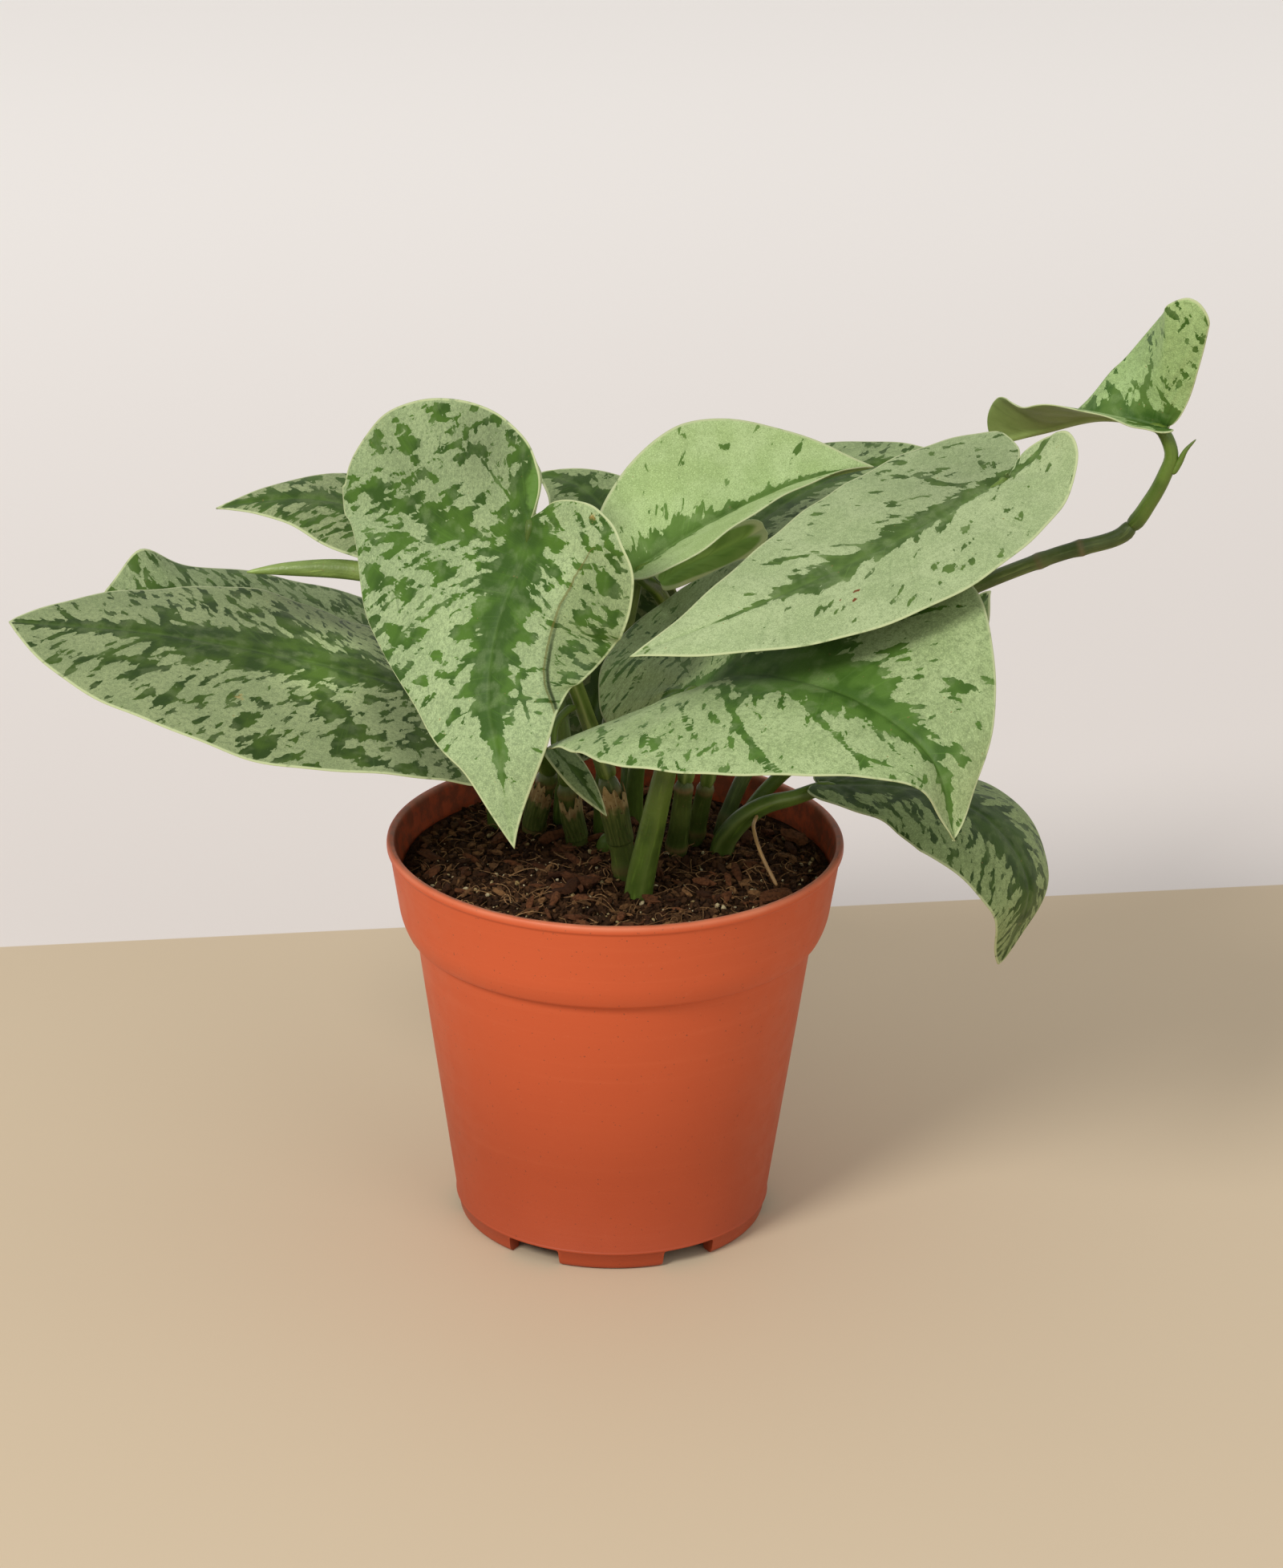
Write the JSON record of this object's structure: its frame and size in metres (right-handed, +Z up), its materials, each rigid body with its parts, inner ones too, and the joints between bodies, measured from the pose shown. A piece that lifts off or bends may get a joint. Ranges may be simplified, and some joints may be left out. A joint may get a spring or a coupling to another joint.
{
  "type": "potted pothos",
  "caption": "Satin pothos with silver-marked heart-shaped leaves on arching stalks, rooted in potting mix in a round tapered plastic nursery pot with a rolled collar.",
  "frame": {"origin": "on the pot's axis at the centre of its underside, level with the ground that its foot stands on", "axes": "+Z up along the pot's axis; -Y the front, from which the plant is seen; +X to that viewer's right"},
  "size_m": [0.3051, 0.1817, 0.2552],
  "materials": {
    "terracotta_plastic": "satin moulded plastic, terracotta orange",
    "potting_mix": "loose damp peat with bark chips, fibres and pale grit",
    "leaf_blade": "satin leaf, silver green with dark green blotches",
    "leaf_stalk": "smooth fleshy green",
    "dry_sheath": "dry papery brown"
  },
  "bodies": {
    "root": {"pot": "terracotta_plastic", "potting_mix": "potting_mix", "leaf_left": "leaf_blade", "leaf_front": "leaf_blade", "leaf_centre": "leaf_blade", "leaf_upper_right": "leaf_blade", "leaf_lower_right": "leaf_blade", "leaf_runner": "leaf_blade", "leaf_drooping": "leaf_blade", "leaf_back_right": "leaf_blade", "leaf_back": "leaf_blade", "leaf_back_left": "leaf_blade", "leaf_low_left": "leaf_blade", "leaf_small": "leaf_blade", "leaf_far_right": "leaf_blade", "leaf_inner": "leaf_blade", "leaf_rolled": "leaf_blade", "stem_left": "leaf_stalk", "stem_mid_left": "leaf_stalk", "stem_front": "leaf_stalk", "stem_right": "leaf_stalk", "stem_back": "leaf_stalk", "runner": "leaf_stalk", "stalk_left": "leaf_stalk", "stalk_front": "leaf_stalk", "stalk_centre": "leaf_stalk", "stalk_upper_right": "leaf_stalk", "stalk_lower_right": "leaf_stalk", "stalk_runner": "leaf_stalk", "stalk_drooping": "leaf_stalk", "stalk_back_right": "leaf_stalk", "stalk_back": "leaf_stalk", "stalk_back_left": "leaf_stalk", "stalk_low_left": "leaf_stalk", "stalk_small": "leaf_stalk", "stalk_far_right": "leaf_stalk", "stalk_inner": "leaf_stalk", "stalk_rolled": "leaf_stalk", "sprout": "leaf_stalk", "stipule": "leaf_stalk", "sheath_winged": "leaf_stalk", "sheath_left": "dry_sheath", "sheath_mid_left": "dry_sheath", "sheath_front": "dry_sheath", "aerial_root": "dry_sheath"}
  },
  "joints": []
}
